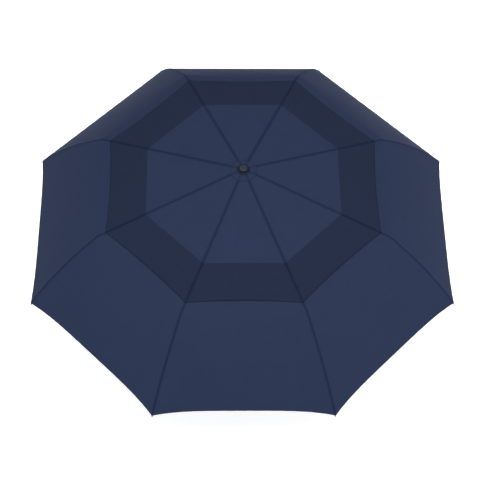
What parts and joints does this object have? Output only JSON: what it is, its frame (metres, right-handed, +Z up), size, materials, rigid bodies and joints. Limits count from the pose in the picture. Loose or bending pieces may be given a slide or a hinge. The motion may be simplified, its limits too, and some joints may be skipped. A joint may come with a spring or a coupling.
{
  "type": "folding umbrella",
  "caption": "Open folding umbrella with a vented double canopy in navy cloth, jointed steel ribs, a sliding runner and a telescoping shaft with a straight grip.",
  "frame": {"origin": "on the shaft's axis, at the middle of the hand grip, where a hand holds the open umbrella", "axes": "+Z up the shaft towards the canopy, -Y towards the gore that faces the front, +X to the right of it"},
  "size_m": [0.9268, 0.9268, 0.6455],
  "materials": {
    "grip_rubber": "matt soft-touch",
    "handle_plastic": "satin",
    "button_plastic": "satin",
    "inner_plastic": "matt",
    "hub_plastic": "satin",
    "ferrule_plastic": "satin",
    "tip_plastic": "satin",
    "shaft_steel": "satin",
    "pin_steel": "satin",
    "spring_steel": "satin",
    "tie_steel": "satin",
    "rib_steel": "satin black",
    "rib_fibreglass": "satin black",
    "navy_fabric": "woven, matt"
  },
  "bodies": {
    "handle": {"handle_grip": "grip_rubber", "handle_end_cap": "handle_plastic", "handle_pin": "pin_steel", "lower_tube": "shaft_steel", "spring_seat": "inner_plastic", "main_spring": "spring_steel", "button_spring": "spring_steel"},
    "button": {"push_button": "button_plastic"},
    "shaft_top": {"upper_tube": "shaft_steel", "tube_plug": "inner_plastic", "crown": "hub_plastic", "crown_wire": "pin_steel", "ferrule_cap": "ferrule_plastic", "canopy_main": "navy_fabric", "canopy_vent": "navy_fabric"},
    "runner": {"runner": "hub_plastic", "runner_wire": "pin_steel"},
    "inner_1": {"inner_rib_1": "rib_steel"},
    "stretcher_1": {"stretcher_1": "rib_steel"},
    "outer_1": {"outer_rib_1": "rib_fibreglass", "rib_tip_1": "tip_plastic"},
    "tie_1": {"tie_link_1": "tie_steel"},
    "inner_2": {"inner_rib_2": "rib_steel"},
    "stretcher_2": {"stretcher_2": "rib_steel"},
    "outer_2": {"outer_rib_2": "rib_fibreglass", "rib_tip_2": "tip_plastic", "closing_strap": "navy_fabric"},
    "tie_2": {"tie_link_2": "tie_steel"},
    "inner_3": {"inner_rib_3": "rib_steel"},
    "stretcher_3": {"stretcher_3": "rib_steel"},
    "outer_3": {"outer_rib_3": "rib_fibreglass", "rib_tip_3": "tip_plastic"},
    "tie_3": {"tie_link_3": "tie_steel"},
    "inner_4": {"inner_rib_4": "rib_steel"},
    "stretcher_4": {"stretcher_4": "rib_steel"},
    "outer_4": {"outer_rib_4": "rib_fibreglass", "rib_tip_4": "tip_plastic"},
    "tie_4": {"tie_link_4": "tie_steel"},
    "inner_5": {"inner_rib_5": "rib_steel"},
    "stretcher_5": {"stretcher_5": "rib_steel"},
    "outer_5": {"outer_rib_5": "rib_fibreglass", "rib_tip_5": "tip_plastic"},
    "tie_5": {"tie_link_5": "tie_steel"},
    "inner_6": {"inner_rib_6": "rib_steel"},
    "stretcher_6": {"stretcher_6": "rib_steel"},
    "outer_6": {"outer_rib_6": "rib_fibreglass", "rib_tip_6": "tip_plastic"},
    "tie_6": {"tie_link_6": "tie_steel"},
    "inner_7": {"inner_rib_7": "rib_steel"},
    "stretcher_7": {"stretcher_7": "rib_steel"},
    "outer_7": {"outer_rib_7": "rib_fibreglass", "rib_tip_7": "tip_plastic"},
    "tie_7": {"tie_link_7": "tie_steel"},
    "inner_8": {"inner_rib_8": "rib_steel"},
    "stretcher_8": {"stretcher_8": "rib_steel"},
    "outer_8": {"outer_rib_8": "rib_fibreglass", "rib_tip_8": "tip_plastic"},
    "tie_8": {"tie_link_8": "tie_steel"}
  },
  "joints": [
    {"name": "shaft_slide", "type": "slide", "parent": "handle", "child": "shaft_top", "axis": [0, 0, -1], "range_m": [0, 0.19], "deforming": ["main_spring"]},
    {"name": "button_press", "type": "slide", "parent": "handle", "child": "button", "axis": [0, 1, 0], "range_m": [0, 0.0022], "stiffness_N_per_m": 600, "springref_m": -0.001},
    {"name": "fold", "type": "hinge", "parent": "shaft_top", "child": "inner_1", "pos_m": [0.01062, 0.0044, 0.588], "axis": [-0.3827, 0.9239, 0], "range_deg": [0, 78.69], "deforming": ["canopy_main", "canopy_vent", "closing_strap"]},
    {"name": "stretcher_pin_1", "type": "hinge", "parent": "inner_1", "child": "stretcher_1", "pos_m": [0.14199, 0.05881, 0.55956], "axis": [-0.3827, 0.9239, 0], "range_deg": [-157.39, 0]},
    {"name": "tie_pin_1", "type": "hinge", "parent": "stretcher_1", "child": "tie_1", "pos_m": [0.13644, 0.05652, 0.55956], "axis": [-0.3827, 0.9239, 0], "range_deg": [0, 157.39]},
    {"name": "knee_1", "type": "hinge", "parent": "inner_1", "child": "outer_1", "pos_m": [0.30986, 0.12835, 0.52475], "axis": [-0.3827, 0.9239, 0], "range_deg": [-204.6, 0]},
    {"name": "fold_2", "type": "hinge", "parent": "shaft_top", "child": "inner_2", "pos_m": [0.0044, 0.01062, 0.588], "axis": [-0.9239, 0.3827, 0], "range_deg": [0, 78.69]},
    {"name": "stretcher_pin_2", "type": "hinge", "parent": "inner_2", "child": "stretcher_2", "pos_m": [0.05881, 0.14199, 0.55956], "axis": [-0.9239, 0.3827, 0], "range_deg": [-157.39, 0]},
    {"name": "tie_pin_2", "type": "hinge", "parent": "stretcher_2", "child": "tie_2", "pos_m": [0.05652, 0.13644, 0.55956], "axis": [-0.9239, 0.3827, 0], "range_deg": [0, 157.39]},
    {"name": "knee_2", "type": "hinge", "parent": "inner_2", "child": "outer_2", "pos_m": [0.12835, 0.30986, 0.52475], "axis": [-0.9239, 0.3827, 0], "range_deg": [-204.6, 0]},
    {"name": "fold_3", "type": "hinge", "parent": "shaft_top", "child": "inner_3", "pos_m": [-0.0044, 0.01062, 0.588], "axis": [-0.9239, -0.3827, 0], "range_deg": [0, 78.69]},
    {"name": "stretcher_pin_3", "type": "hinge", "parent": "inner_3", "child": "stretcher_3", "pos_m": [-0.05881, 0.14199, 0.55956], "axis": [-0.9239, -0.3827, 0], "range_deg": [-157.39, 0]},
    {"name": "tie_pin_3", "type": "hinge", "parent": "stretcher_3", "child": "tie_3", "pos_m": [-0.05652, 0.13644, 0.55956], "axis": [-0.9239, -0.3827, 0], "range_deg": [0, 157.39]},
    {"name": "knee_3", "type": "hinge", "parent": "inner_3", "child": "outer_3", "pos_m": [-0.12835, 0.30986, 0.52475], "axis": [-0.9239, -0.3827, 0], "range_deg": [-204.6, 0]},
    {"name": "fold_4", "type": "hinge", "parent": "shaft_top", "child": "inner_4", "pos_m": [-0.01062, 0.0044, 0.588], "axis": [-0.3827, -0.9239, 0], "range_deg": [0, 78.69]},
    {"name": "stretcher_pin_4", "type": "hinge", "parent": "inner_4", "child": "stretcher_4", "pos_m": [-0.14199, 0.05881, 0.55956], "axis": [-0.3827, -0.9239, 0], "range_deg": [-157.39, 0]},
    {"name": "tie_pin_4", "type": "hinge", "parent": "stretcher_4", "child": "tie_4", "pos_m": [-0.13644, 0.05652, 0.55956], "axis": [-0.3827, -0.9239, 0], "range_deg": [0, 157.39]},
    {"name": "knee_4", "type": "hinge", "parent": "inner_4", "child": "outer_4", "pos_m": [-0.30986, 0.12835, 0.52475], "axis": [-0.3827, -0.9239, 0], "range_deg": [-204.6, 0]},
    {"name": "fold_5", "type": "hinge", "parent": "shaft_top", "child": "inner_5", "pos_m": [-0.01062, -0.0044, 0.588], "axis": [0.3827, -0.9239, 0], "range_deg": [0, 78.69]},
    {"name": "stretcher_pin_5", "type": "hinge", "parent": "inner_5", "child": "stretcher_5", "pos_m": [-0.14199, -0.05881, 0.55956], "axis": [0.3827, -0.9239, 0], "range_deg": [-157.39, 0]},
    {"name": "tie_pin_5", "type": "hinge", "parent": "stretcher_5", "child": "tie_5", "pos_m": [-0.13644, -0.05652, 0.55956], "axis": [0.3827, -0.9239, 0], "range_deg": [0, 157.39]},
    {"name": "knee_5", "type": "hinge", "parent": "inner_5", "child": "outer_5", "pos_m": [-0.30986, -0.12835, 0.52475], "axis": [0.3827, -0.9239, 0], "range_deg": [-204.6, 0]},
    {"name": "fold_6", "type": "hinge", "parent": "shaft_top", "child": "inner_6", "pos_m": [-0.0044, -0.01062, 0.588], "axis": [0.9239, -0.3827, 0], "range_deg": [0, 78.69]},
    {"name": "stretcher_pin_6", "type": "hinge", "parent": "inner_6", "child": "stretcher_6", "pos_m": [-0.05881, -0.14199, 0.55956], "axis": [0.9239, -0.3827, 0], "range_deg": [-157.39, 0]},
    {"name": "tie_pin_6", "type": "hinge", "parent": "stretcher_6", "child": "tie_6", "pos_m": [-0.05652, -0.13644, 0.55956], "axis": [0.9239, -0.3827, 0], "range_deg": [0, 157.39]},
    {"name": "knee_6", "type": "hinge", "parent": "inner_6", "child": "outer_6", "pos_m": [-0.12835, -0.30986, 0.52475], "axis": [0.9239, -0.3827, 0], "range_deg": [-204.6, 0]},
    {"name": "fold_7", "type": "hinge", "parent": "shaft_top", "child": "inner_7", "pos_m": [0.0044, -0.01062, 0.588], "axis": [0.9239, 0.3827, 0], "range_deg": [0, 78.69]},
    {"name": "stretcher_pin_7", "type": "hinge", "parent": "inner_7", "child": "stretcher_7", "pos_m": [0.05881, -0.14199, 0.55956], "axis": [0.9239, 0.3827, 0], "range_deg": [-157.39, 0]},
    {"name": "tie_pin_7", "type": "hinge", "parent": "stretcher_7", "child": "tie_7", "pos_m": [0.05652, -0.13644, 0.55956], "axis": [0.9239, 0.3827, 0], "range_deg": [0, 157.39]},
    {"name": "knee_7", "type": "hinge", "parent": "inner_7", "child": "outer_7", "pos_m": [0.12835, -0.30986, 0.52475], "axis": [0.9239, 0.3827, 0], "range_deg": [-204.6, 0]},
    {"name": "fold_8", "type": "hinge", "parent": "shaft_top", "child": "inner_8", "pos_m": [0.01062, -0.0044, 0.588], "axis": [0.3827, 0.9239, 0], "range_deg": [0, 78.69]},
    {"name": "stretcher_pin_8", "type": "hinge", "parent": "inner_8", "child": "stretcher_8", "pos_m": [0.14199, -0.05881, 0.55956], "axis": [0.3827, 0.9239, 0], "range_deg": [-157.39, 0]},
    {"name": "tie_pin_8", "type": "hinge", "parent": "stretcher_8", "child": "tie_8", "pos_m": [0.13644, -0.05652, 0.55956], "axis": [0.3827, 0.9239, 0], "range_deg": [0, 157.39]},
    {"name": "knee_8", "type": "hinge", "parent": "inner_8", "child": "outer_8", "pos_m": [0.30986, -0.12835, 0.52475], "axis": [0.3827, 0.9239, 0], "range_deg": [-204.6, 0]},
    {"name": "runner_pin", "type": "hinge", "parent": "stretcher_1", "child": "runner", "pos_m": [0.01062, 0.0044, 0.53113], "axis": [-0.3827, 0.9239, 0], "range_deg": [0, 78.7]}
  ],
  "couplings": [
    {"joint": "stretcher_pin_1", "follows": "fold", "ratio": -2},
    {"joint": "tie_pin_1", "follows": "fold", "ratio": 2},
    {"joint": "knee_1", "follows": "fold", "ratio": -2.5999},
    {"joint": "fold_2", "follows": "fold", "ratio": 1},
    {"joint": "stretcher_pin_2", "follows": "fold", "ratio": -2},
    {"joint": "tie_pin_2", "follows": "fold", "ratio": 2},
    {"joint": "knee_2", "follows": "fold", "ratio": -2.5999},
    {"joint": "fold_3", "follows": "fold", "ratio": 1},
    {"joint": "stretcher_pin_3", "follows": "fold", "ratio": -2},
    {"joint": "tie_pin_3", "follows": "fold", "ratio": 2},
    {"joint": "knee_3", "follows": "fold", "ratio": -2.5999},
    {"joint": "fold_4", "follows": "fold", "ratio": 1},
    {"joint": "stretcher_pin_4", "follows": "fold", "ratio": -2},
    {"joint": "tie_pin_4", "follows": "fold", "ratio": 2},
    {"joint": "knee_4", "follows": "fold", "ratio": -2.5999},
    {"joint": "fold_5", "follows": "fold", "ratio": 1},
    {"joint": "stretcher_pin_5", "follows": "fold", "ratio": -2},
    {"joint": "tie_pin_5", "follows": "fold", "ratio": 2},
    {"joint": "knee_5", "follows": "fold", "ratio": -2.5999},
    {"joint": "fold_6", "follows": "fold", "ratio": 1},
    {"joint": "stretcher_pin_6", "follows": "fold", "ratio": -2},
    {"joint": "tie_pin_6", "follows": "fold", "ratio": 2},
    {"joint": "knee_6", "follows": "fold", "ratio": -2.5999},
    {"joint": "fold_7", "follows": "fold", "ratio": 1},
    {"joint": "stretcher_pin_7", "follows": "fold", "ratio": -2},
    {"joint": "tie_pin_7", "follows": "fold", "ratio": 2},
    {"joint": "knee_7", "follows": "fold", "ratio": -2.5999},
    {"joint": "fold_8", "follows": "fold", "ratio": 1},
    {"joint": "stretcher_pin_8", "follows": "fold", "ratio": -2},
    {"joint": "tie_pin_8", "follows": "fold", "ratio": 2},
    {"joint": "knee_8", "follows": "fold", "ratio": -2.5999},
    {"joint": "runner_pin", "follows": "fold", "ratio": 1}
  ]
}
